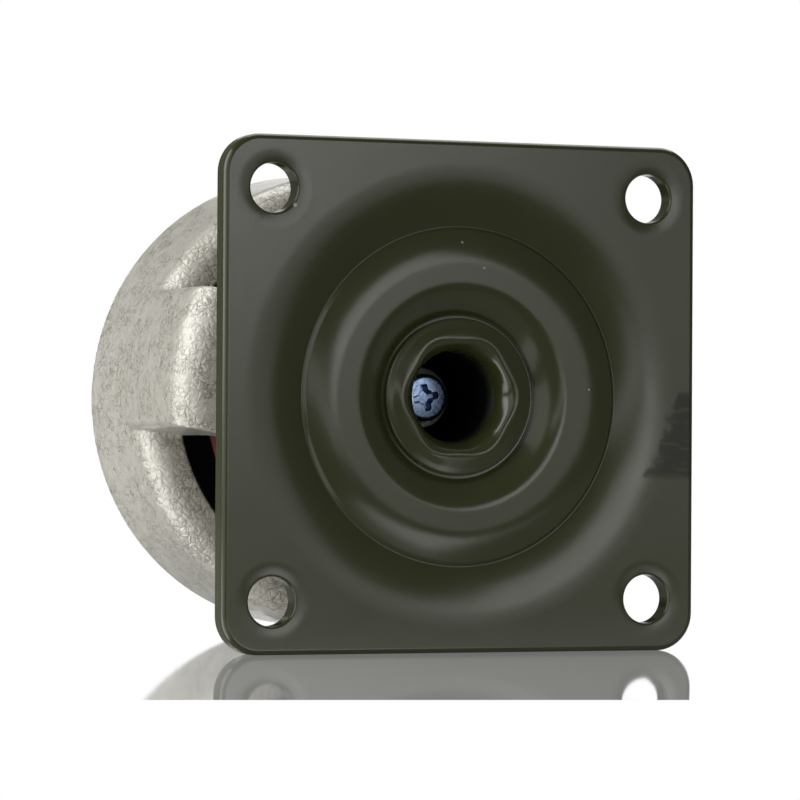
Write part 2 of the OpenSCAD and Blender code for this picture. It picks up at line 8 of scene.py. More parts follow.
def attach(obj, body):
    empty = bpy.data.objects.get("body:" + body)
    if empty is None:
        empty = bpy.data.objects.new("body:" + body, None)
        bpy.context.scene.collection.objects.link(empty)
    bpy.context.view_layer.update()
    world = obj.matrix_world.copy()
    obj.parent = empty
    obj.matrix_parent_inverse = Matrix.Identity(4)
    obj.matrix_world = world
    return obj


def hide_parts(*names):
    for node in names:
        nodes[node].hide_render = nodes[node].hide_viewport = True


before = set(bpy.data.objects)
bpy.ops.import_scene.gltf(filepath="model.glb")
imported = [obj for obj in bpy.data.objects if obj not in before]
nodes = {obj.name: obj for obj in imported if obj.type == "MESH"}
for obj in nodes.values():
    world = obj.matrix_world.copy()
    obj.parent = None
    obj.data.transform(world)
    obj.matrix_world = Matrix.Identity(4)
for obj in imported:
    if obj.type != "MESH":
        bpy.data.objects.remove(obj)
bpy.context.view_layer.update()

# Sizes in millimetres; heights are measured from the plate's face
MM = 0.001
TURN = math.radians(-10)
PLATE_HALF, PLATE_T, CORNER_R, EDGE_R = 36.5, 3.2, 5.5, 0.8
HOLE_AT, HOLE_R, HOLE_LIP, HOLE_DIP, DIP_W = 29, 3.5, 0.4, 0.12, 1.9
DISH_R, CREASE_R, CREASE_DROP, RISER_R, RISER_DROP = 33.4, 24.2, 1.5, 23.7, 1.06
CREST_OUT, CREST_IN, BEAD_DROP = 18.9, 16.4, 0.3
FLOOR_R, FLOOR_DROP, SPIGOT_R = 11.8, 2.6, 9
KING_R, BORE_R, COLLAR_R, COLLAR_H, KING_BOTTOM = 10.2, 6.5, 11.25, 1.5, -27.5
SCREW_SEAT, SCREW_R, SCREW_L, HEAD_R, HEAD_H = -16.3, 2.0, 12, 3.45, 2.6
SPINDLE_TOP, SHOULDER, CORE_R, SHANK_R, SHANK_FLAT = -17.1, -45, 3.6, 7, 5.6
NECK_R, NECK_TOP, CUP_TOP, CUP_FLOOR, PAD_R, PAD_FACE = 10, -70, -74, -76, 17, -80
DIAL_R, DIAL_TOP, RIM_BOTTOM, DIAL_BOTTOM = 25.5, -30.2, -38.5, -43.5
DIAL_HUB_R, DIAL_CHAMFER, SCALLOPS, SCALLOP_AT, SCALLOP_R = 15, 1.2, 20, 26.6, 2.0
NUT_TOP, NUT_CORNER_R, NUT_FLATS = -31, 10, 17.32
TRAIL, AXLE_Z, AXLE_R, AXLE_FIT_R = 38, -60, 4, 4.05
WHEEL_R, WHEEL_HALF, WHEEL_HUB_R, WHEEL_RIM_R, WEB_HALF = 23.99, 11, 14, 19, 6
BEARING_R, BEARING_IN = 11, 4
CHEEK_IN, CHEEK_OUT, BOLT_SEAT, HEX_R, HEX_FLATS = 12.5, 17.5, 19.1, 7.5, 13
# A turned section that reaches the axis stops just short of it
NEAR_AXIS = 0.01
SWIVELLED = Matrix.Rotation(TURN, 4, "Z")
ON_AXLE = (SWIVELLED @ Matrix.Translation((TRAIL, 0, AXLE_Z))
           @ Matrix.Rotation(math.radians(-90), 4, "X"))
# Angles of a rounded edge
QUARTER = [math.pi / 2 * k / 8 for k in range(9)]


# Node helpers

def linear(text):
    """Linear RGBA of an sRGB hex colour."""
    values = [int(text[i:i + 2], 16) / 255 for i in (1, 3, 5)]
    return [v / 12.92 if v <= 0.04045 else ((v + 0.055) / 1.055) ** 2.4 for v in values] + [1]


def add(tree, kind, inputs=None, **settings):
    """Adds a node with its settings; each input is a value or the socket that it is linked to."""
    node = tree.nodes.new(kind)
    for key, value in settings.items():
        setattr(node, key, value)
    for key, value in (inputs or {}).items():
        if isinstance(value, bpy.types.NodeSocket):
            tree.links.new(value, node.inputs[key])
        else:
            node.inputs[key].default_value = value
    return node


def material(name):
    """An empty material, with its tree and its object coordinates in millimetres."""
    made = bpy.data.materials.new(name)
    made.use_nodes = True
    tree = made.node_tree
    tree.nodes.clear()
    place = add(tree, "ShaderNodeTexCoord").outputs["Object"]
    scaled = add(tree, "ShaderNodeVectorMath", {0: place, "Scale": 1 / MM}, operation="SCALE")
    return made, tree, scaled.outputs["Vector"]


def surface(tree, inputs):
    """Ends a material's tree with a principled surface."""
    shader = add(tree, "ShaderNodeBsdfPrincipled", inputs)
    add(tree, "ShaderNodeOutputMaterial", {"Surface": shader.outputs["BSDF"]})


def noise(tree, place, size, detail=2.0, rough=0.5):
    """Noise with features of that size in millimetres."""
    return add(tree, "ShaderNodeTexNoise", {
        "Vector": place, "Scale": 1 / size, "Detail": detail, "Roughness": rough}).outputs["Fac"]


def span(tree, value, low, high, to_low=0.0, to_high=1.0):
    """Maps low..high smoothly to to_low..to_high."""
    return add(tree, "ShaderNodeMapRange", {
        "Value": value, "From Min": low, "From Max": high, "To Min": to_low, "To Max": to_high},
        interpolation_type="SMOOTHSTEP").outputs["Result"]


def blend(tree, share, low, high):
    """Mixes two colours, each a hex text or a socket."""
    pair = [linear(c) if isinstance(c, str) else c for c in (low, high)]
    mixed = add(tree, "ShaderNodeMix", {0: share, 6: pair[0], 7: pair[1]}, data_type="RGBA")
    return mixed.outputs[2]


def mix(tree, share, low, high):
    """Mixes two numbers."""
    return add(tree, "ShaderNodeMix", {0: share, 2: low, 3: high}).outputs[0]


def math_node(tree, operation, first, second):
    """One arithmetic step on two values."""
    return add(tree, "ShaderNodeMath", {0: first, 1: second}, operation=operation).outputs[0]


def product(tree, first, *others):
    """The product of several values."""
    for other in others:
        first = math_node(tree, "MULTIPLY", first, other)
    return first


def vector_node(tree, operation, first, second):
    """One step on two vectors."""
    made = add(tree, "ShaderNodeVectorMath", {0: first, 1: second}, operation=operation)
    return made.outputs["Vector"]


def away(tree, spot, x=0.0, y=0.0):
    """Distance from the line along Z through a point, the Z axis itself if none is given."""
    flat = add(tree, "ShaderNodeCombineXYZ", {0: spot["X"], 1: spot["Y"]}).outputs[0]
    gap = add(tree, "ShaderNodeVectorMath", {0: flat, 1: (x, y, 0)}, operation="DISTANCE")
    return gap.outputs["Value"]


def bump(tree, height, depth):
    """Normal of a relief of that depth in millimetres."""
    relief = add(tree, "ShaderNodeBump", {
        "Height": height, "Distance": depth * MM, "Strength": 1.0})
    return relief.outputs["Normal"]


# Materials

# Light dust specks and a nick, and a dark smudge: place, radius, colour
DUST, SMUDGE, SMUDGE_CORE = "#8d8f83", "#24261a", "#1c1e14"
MARKS = ((-0.1, 22.0, 0.22, DUST), (3.2, 18.4, 0.2, DUST), (19.8, 1.2, 0.2, DUST),
         (-25.9, 26.6, 0.35, DUST), (-31.5, 24.3, 0.7, SMUDGE), (-30.9, 24.6, 0.45, SMUDGE_CORE))
# Hammer cells per millimetre
CELLS = 0.85


def olive_enamel():
    """Dark olive stoving enamel on the pressed steel, with a rubbed smear and a few small marks.

    Deep in the kingpin's bore it is darkened nearly to black and made dull, as painted shade."""
    made, tree, place = material("olive_enamel")
    spot = add(tree, "ShaderNodeSeparateXYZ", {0: place}).outputs
    tint = blend(tree, noise(tree, place, 14.0), "#2d3018", "#33361e")
    # The smear lies at the plate's right edge, streaked, with a ragged and leaning inner side
    ragged = math_node(tree, "SUBTRACT", noise(tree, place, 3.0, 4.0), 0.5)
    east = math_node(tree, "ADD", spot["X"], math_node(tree, "MULTIPLY", ragged, 5.0))
    leaning = math_node(tree, "ADD", east, math_node(tree, "MULTIPLY", spot["Y"], -0.45))
    side = span(tree, leaning, 33.6, 34.6)
    upper = span(tree, spot["Y"], 1.4, 0.4)
    lower = span(tree, spot["Y"], -12.0, -10.8)
    front = span(tree, spot["Z"], -0.7, -0.4)
    streaks = noise(tree, vector_node(tree, "MULTIPLY", place, (0.25, 1.6, 1.0)), 1.0, 3.0)
    smear = product(tree, side, upper, lower, front, span(tree, streaks, 0.3, 0.5, 0.45, 1.0))
    tint = blend(tree, smear, tint, "#1c1e0a")
    gloss = span(tree, noise(tree, place, 9.0, 3.0), 0.3, 0.7, 0.17, 0.2)
    gloss = mix(tree, smear, gloss, 0.42)
    outside = span(tree, spot["Z"], -3.1, -2.8)
    for x, y, size, shade in MARKS:
        mark = span(tree, away(tree, spot, x, y), size, size * 0.5)
        tint = blend(tree, product(tree, mark, outside), tint, shade)
    # Painted shade: deep in the bore the enamel turns nearly black and loses its sheen
    bore = product(tree, span(tree, away(tree, spot), 6.8, 6.6), span(tree, spot["Z"], -3.4, -8.0))
    tint = blend(tree, bore, tint, "#080908")
    gloss = mix(tree, bore, gloss, 0.6)
    peel = bump(tree, noise(tree, place, 1.1, 1.0), 0.006)
    surface(tree, {"Base Color": tint, "Roughness": gloss, "Normal": peel, "IOR": 1.5,
                   "Specular IOR Level": span(tree, bore, 0.0, 1.0, 0.5, 0.1)})
    return made


def hammered_paint():
    """Beige-grey hammer-finish paint on the casting: small domed cells, broken veins, a metal sheen.

    Inside the windows the casting is darkened nearly to black, without sheen or coat, as painted shade."""
    made, tree, place = material("hammered_paint")
    stir = add(tree, "ShaderNodeTexNoise", {"Vector": place, "Scale": 1.4, "Detail": 2.0})
    shift = add(tree, "ShaderNodeVectorMath", {0: stir.outputs["Color"], "Scale": 0.9},
                operation="SCALE").outputs["Vector"]
    stirred = vector_node(tree, "ADD", place, shift)
    cells = add(tree, "ShaderNodeTexVoronoi", {"Vector": stirred, "Scale": CELLS}, feature="F1")
    edge = add(tree, "ShaderNodeTexVoronoi", {"Vector": stirred, "Scale": CELLS},
               feature="DISTANCE_TO_EDGE").outputs["Distance"]
    swing = math_node(tree, "SUBTRACT", noise(tree, stirred, 1.5, 3.0, 0.55), 0.5)
    worm = math_node(tree, "ABSOLUTE", swing, 0.0)
    patchy = span(tree, noise(tree, place, 3.5, 3.0), 0.34, 0.58)
    crack = product(tree, span(tree, edge, 0.05, 0.0), patchy)
    vein = math_node(tree, "MAXIMUM", crack, product(tree, span(tree, worm, 0.03, 0.0), patchy))
    shade = add(tree, "ShaderNodeSeparateColor", {0: cells.outputs["Color"]}).outputs["Red"]
    tint = blend(tree, shade, "#b4b2a7", "#c2c0b6")
    tint = blend(tree, product(tree, noise(tree, place, 9.0), 0.5), tint, "#b6b2a6")
    tint = blend(tree, product(tree, vein, 0.8), tint, "#5f5c50")
    spot = add(tree, "ShaderNodeSeparateXYZ", {0: place}).outputs
    # Painted shade: inside the windows the casting turns nearly black and loses its metal sheen and coat
    inside = product(tree, span(tree, away(tree, spot), 28.5, 27.9),
                     span(tree, spot["Z"], -28.6, -29.4), span(tree, spot["Z"], -58.0, -57.0))
    tint = blend(tree, inside, tint, "#171613")
    dome = span(tree, edge, -0.05, 0.5)
    grain = product(tree, noise(tree, stirred, 0.45, 2.0), 0.3)
    groove = product(tree, vein, -0.25)
    height = math_node(tree, "ADD", math_node(tree, "ADD", dome, grain), groove)
    surface(tree, {"Base Color": tint, "Normal": bump(tree, height, 0.085), "Coat Roughness": 0.1,
                   "Metallic": span(tree, inside, 0.0, 1.0, 0.15, 0.0),
                   "Roughness": span(tree, inside, 0.0, 1.0, 0.3, 0.7),
                   "Coat Weight": span(tree, inside, 0.0, 1.0, 0.5, 0.0)})
    return made


def plated(name, low, high, rough, grain):
    """Bare or plated metal: two close tones in soft patches, with fine working marks."""
    made, tree, place = material(name)
    tint = blend(tree, noise(tree, place, grain, 3.0), low, high)
    gloss = span(tree, noise(tree, place, grain * 0.4, 4.0), 0.3, 0.7, rough * 0.75, rough * 1.25)
    marks = bump(tree, noise(tree, place, grain * 0.12, 3.0), 0.006)
    surface(tree, {"Base Color": tint, "Metallic": 1.0, "Roughness": gloss, "Normal": marks})
    return made


def moulded(name, low, high, rough, grain, depth):
    """Moulded plastic or rubber: two close tones and the fine grain of the mould."""
    made, tree, place = material(name)
    tint = blend(tree, noise(tree, place, grain * 12, 2.0), low, high)
    gloss = span(tree, noise(tree, place, grain * 6, 3.0), 0.3, 0.7, rough * 0.85, rough * 1.15)
    surface(tree, {"Base Color": tint, "Roughness": gloss, "IOR": 1.5,
                   "Normal": bump(tree, noise(tree, place, grain, 2.0), depth)})
    return made


paint = olive_enamel()
hammer = hammered_paint()
# Ground bearing steel of the balls, the rings and the thrust washers
bearing_steel = plated("bearing_steel", "#b5b6b8", "#c6c7c8", 0.16, 2.0)
# Blue-passivated zinc on the stop screw
blue_zinc = plated("blue_zinc", "#7488a8", "#8ea3c0", 0.32, 1.2)
# Zinc on the washer under the stop screw, darkened as painted shade
shade_darkened_zinc = plated("shade_darkened_zinc", "#4c5150", "#5d6260", 0.5, 1.0)
# Bright zinc on the spindle, the foot's cup, the spacers, the axle bolt, its nut and washers
spindle_zinc = plated("spindle_zinc", "#a9acae", "#bfc1c1", 0.3, 1.6)
# Phosphated spring steel of the retaining ring
spring_steel = plated("spring_steel", "#34343a", "#46464a", 0.42, 1.0)
# Machined brass of the nut in the dial
brass = plated("brass", "#b3924f", "#c6a762", 0.3, 1.4)
# Red moulded plastic of the dial, darkened as painted shade for the shade it sits in
shaded_red_plastic = moulded("shaded_red_plastic", "#4b120f", "#581712", 0.45, 0.5, 0.008)
# Black rubber under the foot
black_rubber = moulded("black_rubber", "#17171a", "#202022", 0.7, 0.4, 0.02)
# Black nylon of the wheel
black_nylon = moulded("black_nylon", "#141516", "#1c1d1e", 0.42, 0.6, 0.008)
# White nylon ring in the lock nut
white_nylon = moulded("white_nylon", "#c9cdd2", "#d9dcdf", 0.45, 0.5, 0.006)


# Shape helpers

def piece(name, points, faces, finish, body, slot, *stands_for, place=Matrix.Identity(4)):
    """A smooth-shaded piece from points in millimetres, joined to its body."""
    mesh = bpy.data.meshes.new(name)
    mesh.from_pydata([place @ Vector(p) * MM for p in points], [], faces)
    bm = bmesh.new()
    bm.from_mesh(mesh)
    bmesh.ops.remove_doubles(bm, verts=bm.verts, dist=1e-7)
    bmesh.ops.recalc_face_normals(bm, faces=bm.faces)
    bm.to_mesh(mesh)
    bm.free()
    return settle(name, mesh, finish, body, slot, *stands_for)


def settle(name, mesh, finish, body, slot, *stands_for, sharp=None):
    """Shades a finished mesh, gives it its finish, and joins it to its body."""
    mesh.shade_smooth()
    if sharp:
        mesh.set_sharp_from_angle(angle=math.radians(sharp))
    mesh.materials.clear()
    mesh.materials.append(finish)
    made = bpy.data.objects.new(name, mesh)
    bpy.context.scene.collection.objects.link(made)
    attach(made, body)
    if stands_for:
        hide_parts(*stands_for)
    return made


def bridged(rings, close=False):
    """Quads between rings of equally many points; close joins the last ring to the first."""
    count = len(rings[0])
    faces = []
    for a in range(len(rings) if close else len(rings) - 1):
        b = (a + 1) % len(rings)
        for i in range(count):
            j = (i + 1) % count
            faces.append([a * count + i, a * count + j, b * count + j, b * count + i])
    return [p for ring in rings for p in ring], faces


def turned(section, steps=128, reach=None):
    """Rings of an (r, z) section turned about Z; reach(r, z, angle) may change the radius."""
    rings = []
    for r, z in section:
        angles = [math.tau * i / steps for i in range(steps)]
        spans = [reach(r, z, a) if reach else r for a in angles]
        rings.append([(s * math.cos(a), s * math.sin(a), z) for s, a in zip(spans, angles)])
    return rings


def softened(corners, radius, steps=5):
    """A closed section with rounded corners; a close pair of points keeps each side flat."""
    made = []
    for i, corner in enumerate(corners):
        at = Vector(corner)
        back = Vector(corners[i - 1]) - at
        ahead = Vector(corners[(i + 1) % len(corners)]) - at
        reach = min(radius / math.tan(back.angle(ahead) / 2), 0.4 * back.length, 0.4 * ahead.length)
        start, end = at + back.normalized() * reach, at + ahead.normalized() * reach
        made.append(start + back * 0.04)
        for k in range(steps + 1):
            t = k / steps
            made.append(start * (1 - t) ** 2 + at * 2 * t * (1 - t) + end * t * t)
        made.append(end + ahead * 0.04)
    return [tuple(p) for p in made]


def ring_piece(name, corners, finish, body, slot, *stands_for,
               radius=0.2, steps=128, reach=None, place=SWIVELLED):
    """A turned piece with a closed section and softened edges."""
    rings = turned(softened(corners, radius), steps, reach)
    return piece(name, *bridged(rings, close=True), finish, body, slot, *stands_for, place=place)


def band(inner, outer, start, end):
    """The section of a plain ring, from two radii and two heights."""
    return [(inner, start), (outer, start), (outer, end), (inner, end)]


def even(low, high, count):
    """Evenly spaced values from low up to, not including, high."""
    return [low + (high - low) * i / count for i in range(count)]


def clamp(value):
    """The value, held between 0 and 1."""
    return max(0.0, min(1.0, value))


# Plate: rolled rim, dimpled holes, deep dish, fine crease, raised bead

# Outer radius of each zone of the dish, and how many rings it has: more where the sheet bends
ZONES = ((11.1, 3), (16.8, 32), (18.6, 4), (23.3, 22), (24.6, 30), (34, 44))


def sheet_height(r):
    """Height of the pressed sheet's face at a radius."""
    if r >= DISH_R:
        return 0.0
    if r >= CREASE_R:
        return -CREASE_DROP * ((DISH_R - r) / (DISH_R - CREASE_R)) ** 2
    if r >= RISER_R:
        return -CREASE_DROP + (CREASE_DROP - RISER_DROP) * (CREASE_R - r) / (CREASE_R - RISER_R)
    if r >= CREST_OUT:
        rise = math.sin(math.pi / 2 * (RISER_R - r) / (RISER_R - CREST_OUT))
        return -RISER_DROP + (RISER_DROP - BEAD_DROP) * rise
    if r >= CREST_IN:
        return -BEAD_DROP
    if r >= FLOOR_R:
        fall = ((CREST_IN - r) / (CREST_IN - FLOOR_R)) ** 1.8
        return -BEAD_DROP - (FLOOR_DROP - BEAD_DROP) * fall
    return -FLOOR_DROP


def pressed_height(r):
    """The sheet's face with its sharp turns eased as a press leaves them."""
    ease = 0.14
    return sum(sheet_height(r + ease * k / 4) for k in range(-4, 5)) / 9


def square_loop(inset, z, steps=12):
    """Points of the plate's outline, drawn in by an inset."""
    loop = []
    centre = PLATE_HALF - CORNER_R
    for quarter in range(4):
        turn = quarter * math.pi / 2
        for k in range(steps + 1):
            a = math.pi / 2 * k / steps
            x = centre + (CORNER_R - inset) * math.cos(a)
            y = centre + (CORNER_R - inset) * math.sin(a)
            loop.append((x * math.cos(turn) - y * math.sin(turn),
                         x * math.sin(turn) + y * math.cos(turn), z))
    return loop


def round_loop(x, y, r, z, steps):
    """Points of a circle."""
    angles = [math.tau * i / steps for i in range(steps)]
    return [(x + r * math.cos(a), y + r * math.sin(a), z) for a in angles]


def rolled(radius, drop=0.0):
    """A rounded edge, as pairs of inset and height, from the face down to the side."""
    return [(radius * (1 - math.sin(t)), -drop - radius * (1 - math.cos(t))) for t in QUARTER]


def pressed_plate():
    """The plate's skin: rings for its curved parts, and flat faces filled between them."""
    bm = bmesh.new()

    def strip(rings):
        points, faces = bridged(rings)
        made = [bm.verts.new(Vector(p) * MM) for p in points]
        for face in faces:
            bm.faces.new([made[i] for i in face])

    radii, reached = [], SPIGOT_R
    for outer, count in ZONES:
        radii += even(reached, outer, count)
        reached = outer
    radii.append(reached)
    top = [round_loop(0, 0, r, pressed_height(r), 256) for r in radii]
    under = [round_loop(0, 0, r, pressed_height(r) - PLATE_T, 256) for r in radii[::3] + [reached]]
    strip(under[::-1] + top)
    rim = [(EDGE_R + 0.1, 0)] + rolled(EDGE_R)
    rim += [(0, -EDGE_R - 0.1), (0, -PLATE_T + 0.4), (0, -PLATE_T + 0.3),
            (0.1, -PLATE_T + 0.1), (0.3, -PLATE_T), (0.4, -PLATE_T)]
    strip([square_loop(inset, z) for inset, z in rim])
    lip = [(HOLE_LIP + DIP_W + 0.1, 0)]
    lip += [(HOLE_LIP + DIP_W * (1 - k / 10), -HOLE_DIP * (k / 10) ** 2) for k in range(11)]
    lip += rolled(HOLE_LIP, HOLE_DIP)[1:]
    lip += [(0, -HOLE_DIP - HOLE_LIP - 0.1), (0, -PLATE_T + 0.3), (0, -PLATE_T + 0.2),
            (0.2, -PLATE_T), (0.3, -PLATE_T)]
    for x in (-HOLE_AT, HOLE_AT):
        for y in (-HOLE_AT, HOLE_AT):
            strip([round_loop(x, y, HOLE_R + out, z, 64) for out, z in lip])
    for level in (0, -PLATE_T):
        rims = [e for e in bm.edges
                if e.is_boundary and all(abs(v.co.z - level * MM) < 1e-7 for v in e.verts)]
        bmesh.ops.triangle_fill(bm, edges=rims, use_beauty=True, use_dissolve=False)
    bmesh.ops.remove_doubles(bm, verts=bm.verts, dist=1e-8)
    bmesh.ops.recalc_face_normals(bm, faces=bm.faces)
    mesh = bpy.data.meshes.new("pressed_plate")
    bm.to_mesh(mesh)
    bm.free()
    settle("pressed_plate", mesh, paint, "plate", "plate_paint", "mounting_plate")


# Kingpin: collar swaged over the plate by a six-sided punch, funnel and bore

# The collar's ridge and mouth: radius, and drop below the collar's top
FUNNEL = ((10.5, 0.44), (10.1, 0.34), (9.7, 0.23), (9.3, 0.12), (9.0, 0.05), (8.75, 0.01), (8.5, 0),
          (8.3, 0.04), (8.1, 0.12), (7.9, 0.25), (7.7, 0.43), (7.5, 0.66), (7.3, 0.93), (7.1, 1.22),
          (6.95, 1.47), (6.8, 1.75), (6.68, 2.05), (6.58, 2.4), (6.52, 2.7), (BORE_R, 3.1))


def swaged_kingpin():
    """The kingpin's skin, with soft lobes where the punch closed the collar."""
    top = COLLAR_H - FLOOR_DROP
    underside = -FLOOR_DROP - PLATE_T
    edge, groove = 0.4, KING_R - 0.7
    section = [(SPIGOT_R - 0.3, underside), (SPIGOT_R - 0.3, -FLOOR_DROP - 0.1),
               (COLLAR_R, -FLOOR_DROP + 0.02), (COLLAR_R, top - 0.95)]
    section += [(COLLAR_R - edge + edge * math.cos(t), top - 0.9 + edge * math.sin(t))
                for t in QUARTER[:-1]]
    section += [(r, top - drop) for r, drop in FUNNEL]
    section += [(BORE_R, KING_BOTTOM + 0.5), (BORE_R + 0.3, KING_BOTTOM), (KING_R - 0.4, KING_BOTTOM),
                (KING_R, KING_BOTTOM + 0.4), (KING_R, -26.25), (groove, -26.2), (groove, -25.0),
                (KING_R, -24.95), (KING_R, underside - 0.05), (KING_R - 0.1, underside)]

    def lobes(r, z, a):
        share = clamp((r - 6.6) / 1.8) * clamp((10.2 - r) / 1.4)
        return r + 0.32 * math.cos(6 * a) * share if z > top - 3 else r

    points, faces = bridged(turned(section, 192, lobes), close=True)
    made = piece("swaged_kingpin", points, faces, paint, "plate", "plate_paint", "kingpin")
    made.data.set_sharp_from_angle(angle=math.radians(50))


# Casting: the body's solid, softened as die casting and thick paint leave it

def soft_casting(node, grain, passes, share):
    """A copy of a solid, merged, rebuilt in even faces, and smoothed so that its edges round over."""
    mesh = nodes[node].data.copy()
    bm = bmesh.new()
    bm.from_mesh(mesh)
    bmesh.ops.remove_doubles(bm, verts=bm.verts, dist=1e-6)
    bm.to_mesh(mesh)
    bm.free()
    draft = bpy.data.objects.new("draft", mesh)
    bpy.context.scene.collection.objects.link(draft)
    even_faces = draft.modifiers.new("even", "REMESH")
    even_faces.mode = "VOXEL"
    even_faces.voxel_size = grain * MM
    ease = draft.modifiers.new("ease", "SMOOTH")
    ease.factor = 0.5
    ease.iterations = passes
    thin = draft.modifiers.new("thin", "DECIMATE")
    thin.ratio = share
    return plain_mesh(draft)


def plain_mesh(made):
    """An object's mesh with its modifiers applied; the object itself is removed."""
    final = made.evaluated_get(bpy.context.evaluated_depsgraph_get())
    mesh = bpy.data.meshes.new_from_object(final)
    bpy.data.objects.remove(made)
    return mesh


# Geometry Nodes for rows of balls and for threads

def geometry_tree(name, numbers):
    """A tree with named number inputs and a material; returns it with its input node."""
    tree = bpy.data.node_groups.new(name, "GeometryNodeTree")
    for key in numbers:
        tree.interface.new_socket(name=key, in_out="INPUT", socket_type="NodeSocketFloat")
    tree.interface.new_socket(name="Finish", in_out="INPUT", socket_type="NodeSocketMaterial")
    tree.interface.new_socket(name="Geometry", in_out="OUTPUT", socket_type="NodeSocketGeometry")
    return tree, add(tree, "NodeGroupInput").outputs


def close_tree(tree, geometry, height, finish):
    """Ends a tree: its geometry moved to a height, as plain mesh in its material."""
    lift = add(tree, "ShaderNodeCombineXYZ", {"Z": height}).outputs["Vector"]
    moved = add(tree, "GeometryNodeTransform", {"Geometry": geometry, "Translation": lift})
    real = add(tree, "GeometryNodeRealizeInstances", {"Geometry": moved.outputs["Geometry"]})
    done = add(tree, "GeometryNodeSetMaterial", {
        "Geometry": real.outputs["Geometry"], "Material": finish})
    add(tree, "NodeGroupOutput", {"Geometry": done.outputs["Geometry"]})


def ball_row_tree():
    """Balls on a pitch circle."""
    tree, given = geometry_tree("ball_row", ("Count", "Pitch", "Ball", "Height"))
    circle = add(tree, "GeometryNodeMeshCircle", {"Vertices": given["Count"], "Radius": given["Pitch"]})
    ball = add(tree, "GeometryNodeMeshIcoSphere", {"Radius": given["Ball"], "Subdivisions": 4})
    row = add(tree, "GeometryNodeInstanceOnPoints", {
        "Points": circle.outputs["Mesh"], "Instance": ball.outputs["Mesh"]})
    close_tree(tree, row.outputs["Instances"], given["Height"], given["Finish"])
    return tree


def thread_tree():
    """A thread's ridge wound up a core."""
    tree, given = geometry_tree("thread", ("Turns", "Middle", "Ridge", "Length", "Foot"))
    spiral = add(tree, "GeometryNodeCurveSpiral", {
        "Resolution": 40, "Rotations": given["Turns"], "Start Radius": given["Middle"],
        "End Radius": given["Middle"], "Height": given["Length"]})
    ridge = add(tree, "GeometryNodeCurvePrimitiveCircle", {"Resolution": 4, "Radius": given["Ridge"]},
                mode="RADIUS")
    wound = add(tree, "GeometryNodeCurveToMesh", {
        "Curve": spiral.outputs["Curve"], "Profile Curve": ridge.outputs["Curve"], "Fill Caps": True})
    close_tree(tree, wound.outputs["Mesh"], given["Foot"], given["Finish"])
    return tree


def grown(name, tree, numbers, finish, place, body, slot, *stands_for, sharp=None):
    """Runs a tree on numbers, and keeps its plain mesh at a place, given in millimetres."""
    host = bpy.data.objects.new("host", bpy.data.meshes.new("host"))
    bpy.context.scene.collection.objects.link(host)
    run = host.modifiers.new("grow", "NODES")
    run.node_group = tree
    values = dict(numbers, Finish=finish)
    for item in tree.interface.items_tree:
        if item.in_out == "INPUT":
            run[item.identifier] = values[item.name]
    mesh = plain_mesh(host)
    mesh.name = name
    in_metres = place.copy()
    in_metres.translation = place.translation * MM
    mesh.transform(in_metres)
    return settle(name, mesh, finish, body, slot, *stands_for, sharp=sharp)


# Stop screw: pan head with a cross recess

def stop_screw():
    """The screw's skin: a domed head whose recess is cut into its face, and a plain shank."""
    steps, top, tip = 192, SCREW_SEAT + HEAD_H, SCREW_SEAT - SCREW_L
    lean = TURN + math.radians(22)
    edge_from, depth, core_r = 2.8, 1.35, 1.15
    arm_half, arm_taper, arm_end = 0.62, 0.07, 1.95

    def face(r, a):
        x, y = r * math.cos(a - lean), r * math.sin(a - lean)
        edge = max(0.0, (r - edge_from) / (HEAD_R - edge_from)) ** 2.2
        arm = clamp((arm_half - arm_taper * r - min(abs(x), abs(y))) / 0.22)
        core = clamp((core_r - r) / 0.35)
        end = clamp((arm_end - r) / 0.28)
        return top - 0.02 * r * r - 0.4 * edge - depth * max(arm * end, core)

    angles = [math.tau * i / steps for i in range(steps)]
    rings = [[(r * math.cos(a), r * math.sin(a), face(r, a)) for a in angles]
             for r in even(0, HEAD_R, 52) + [HEAD_R]]
    rings += turned([(HEAD_R, SCREW_SEAT + 0.15), (HEAD_R - 0.12, SCREW_SEAT), (SCREW_R, SCREW_SEAT),
                     (SCREW_R, tip + 0.4), (SCREW_R - 0.4, tip), (0, tip)], steps)
    made = piece("pan_head_screw", *bridged(rings), blue_zinc, "foot", "zinc", "stop_screw")
    made.data.set_sharp_from_angle(angle=math.radians(55))


# Radii that change round a turn

def hexagon(across):
    """Draws radii in to the flats of a hexagon."""
    half = across / 2

    def reach(r, z, a):
        from_flat = (a + math.pi / 6) % (math.pi / 3) - math.pi / 6
        return min(r, half / math.cos(from_flat)) if r > half * 0.9 else r
    return reach


def shank(r, z, a):
    """Draws radii in to the spindle's two flats."""
    return min(r, SHANK_FLAT / max(1e-6, abs(math.sin(a)))) if r > 4.5 else r


def scallops(r, z, a):
    """Draws the dial's rim in at each finger scallop."""
    if r < DIAL_R - 3 or z < RIM_BOTTOM - 0.5:
        return r
    pitch = math.tau / SCALLOPS
    off = (a + pitch / 2) % pitch - pitch / 2
    inside = SCALLOP_R ** 2 - (SCALLOP_AT * math.sin(off)) ** 2
    cut = SCALLOP_AT * math.cos(off) - math.sqrt(inside) if inside > 0 else r
    return min(r, cut)


pressed_plate()
swaged_kingpin()
settle("body_casting", soft_casting("swivel_body", grain=0.33, passes=2, share=0.3), hammer,
       "housing", "body_paint", "swivel_body")
stop_screw()

